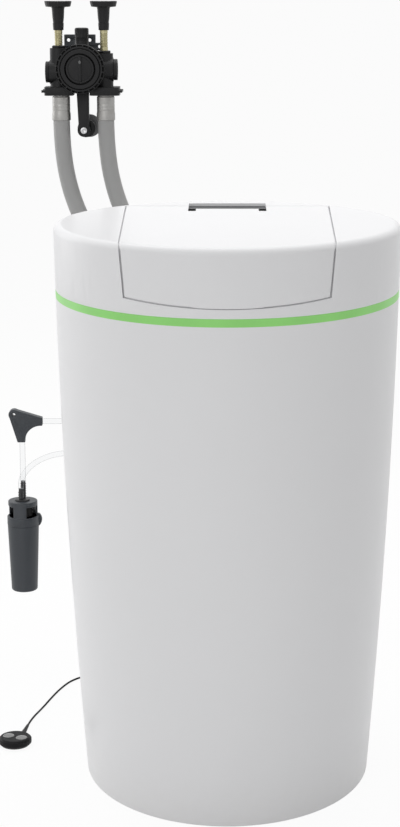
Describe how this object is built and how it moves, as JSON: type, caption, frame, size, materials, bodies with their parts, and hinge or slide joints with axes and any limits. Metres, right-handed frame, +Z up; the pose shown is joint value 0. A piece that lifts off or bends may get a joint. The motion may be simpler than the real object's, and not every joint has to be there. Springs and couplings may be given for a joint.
{
  "type": "water softener with connection block",
  "caption": "Oval floor-standing cabinet water softener with salt lid, light ring, wall connection block, hoses, drain adaptor and floor water sensor.",
  "frame": {"origin": "on the floor, below the middle of the cabinet's widest plan line", "axes": "+Z up, +X to the right seen from the front, +Y to the back towards the wall"},
  "size_m": [0.6238, 0.7338, 1.128],
  "materials": {
    "shell_white": "satin gloss",
    "ring_green": "translucent, softly lit",
    "display_black": "matte",
    "display_glass": "smoked gloss",
    "tank_plastic": "matte",
    "brine_plastic": "satin",
    "float_plastic": "satin",
    "bottle_wrap": "wound, lacquered",
    "inner_plastic": "satin",
    "valve_plastic": "glass filled, matte",
    "motor_steel": "plated",
    "pin_steel": "plated",
    "power_plastic": "matte",
    "cover_grey": "matte",
    "elbow_grey": "satin",
    "ferrule_steel": "crimped, satin",
    "hose_grey": "braid reinforced, satin",
    "block_black": "matte",
    "spindle_brass": "turned",
    "mount_slate": "matte",
    "barb_black": "matte",
    "hose_clear": "clear, soft",
    "sensor_dark": "matte",
    "contact_steel": "satin",
    "cord_black": "matte"
  },
  "bodies": {
    "softener": {"block_body": "block_black", "block_face_ring": "block_black", "block_top_cap": "block_black", "block_wall_plate": "mount_slate", "bottom_strainer": "inner_plastic", "brine_pipe": "brine_plastic", "brine_well": "tank_plastic", "brine_well_cap": "tank_plastic", "cabinet_shell": "shell_white", "cable_glands": "cover_grey", "control_valve_body": "valve_plastic", "display_console": "display_black", "display_glass": "display_glass", "drain_barbs": "barb_black", "drain_head": "mount_slate", "drain_hose": "hose_clear", "drain_nipple": "brine_plastic", "drain_tube": "mount_slate", "drive_motor": "motor_steel", "flange_clips": "block_black", "hood": "shell_white", "hose_bracket": "mount_slate", "inlet_elbow": "elbow_grey", "inlet_hose": "hose_grey", "lid_hinge_pins": "pin_steel", "light_ring": "ring_green", "lower_ferrules": "ferrule_steel", "outlet_elbow": "elbow_grey", "outlet_hose": "hose_grey", "overflow_hose": "hose_clear", "overflow_pipe": "brine_plastic", "power_unit": "power_plastic", "rear_service_cover": "cover_grey", "resin_bottle": "bottle_wrap", "riser_pipe": "inner_plastic", "salt_grid": "tank_plastic", "salt_tank": "tank_plastic", "sensor_body": "sensor_dark", "sensor_contacts": "contact_steel", "sensor_cord": "cord_black", "sensor_cord_coil": "cord_black", "sensor_cord_riser": "cord_black", "support_arm": "block_black", "support_arm_screw": "pin_steel", "technical_cover": "tank_plastic", "upper_ferrules": "ferrule_steel", "valve_end_cap": "valve_plastic", "wall_foot": "elbow_grey"},
    "lid": {"salt_lid": "shell_white"},
    "inlet_disc": {"inlet_valve_disc": "spindle_brass"},
    "inlet_handle": {"inlet_handle": "block_black", "inlet_spindle": "spindle_brass"},
    "outlet_disc": {"outlet_valve_disc": "spindle_brass"},
    "outlet_handle": {"outlet_handle": "block_black", "outlet_spindle": "spindle_brass"},
    "bypass": {"bypass_dial": "block_black"},
    "brine_float": {"brine_float": "float_plastic"},
    "pinion": {"drive_pinion": "inner_plastic"},
    "piston": {"control_piston": "inner_plastic"},
    "turbine": {"meter_turbine": "inner_plastic"}
  },
  "joints": [
    {"name": "lid_hinge", "type": "hinge", "parent": "softener", "child": "lid", "pos_m": [0, 0.183, 0.8195], "axis": [-1, 0, 0], "range_deg": [0, 88]},
    {"name": "inlet_disc_slide", "type": "slide", "parent": "softener", "child": "inlet_disc", "axis": [0, 0, 1], "range_m": [-0.01, 0]},
    {"name": "inlet_handle_turn", "type": "hinge", "parent": "inlet_disc", "child": "inlet_handle", "pos_m": [-0.272, 0.4, 1.05], "axis": [0, 0, 1], "range_deg": [-1442, 0]},
    {"name": "outlet_disc_slide", "type": "slide", "parent": "softener", "child": "outlet_disc", "axis": [0, 0, 1], "range_m": [-0.01, 0]},
    {"name": "outlet_handle_turn", "type": "hinge", "parent": "outlet_disc", "child": "outlet_handle", "pos_m": [-0.199, 0.4, 1.05], "axis": [0, 0, 1], "range_deg": [-1442, 0]},
    {"name": "bypass_turn", "type": "hinge", "parent": "softener", "child": "bypass", "pos_m": [-0.2355, 0.36, 1.0218], "axis": [0, 1, 0], "range_deg": [0, 90]},
    {"name": "float_slide", "type": "slide", "parent": "softener", "child": "brine_float", "axis": [0, 0, 1], "range_m": [0, 0.28]},
    {"name": "pinion_turn", "type": "hinge", "parent": "softener", "child": "pinion", "pos_m": [0.035, 0.11, 0.474], "axis": [0, 1, 0], "range_deg": [0, 153.2]},
    {"name": "piston_slide", "type": "slide", "parent": "softener", "child": "piston", "axis": [1, 0, 0], "range_m": [-0.024, 0]},
    {"name": "turbine_spin", "type": "hinge", "parent": "softener", "child": "turbine", "pos_m": [-0.078, 0.16, 0.46], "axis": [0, 1, 0], "continuous": true}
  ],
  "couplings": [
    {"joint": "inlet_handle_turn", "follows": "inlet_disc_slide", "rad_per_m": 2513.3},
    {"joint": "outlet_handle_turn", "follows": "outlet_disc_slide", "rad_per_m": 2513.3},
    {"joint": "pinion_turn", "follows": "piston_slide", "rad_per_m": -111.11}
  ]
}
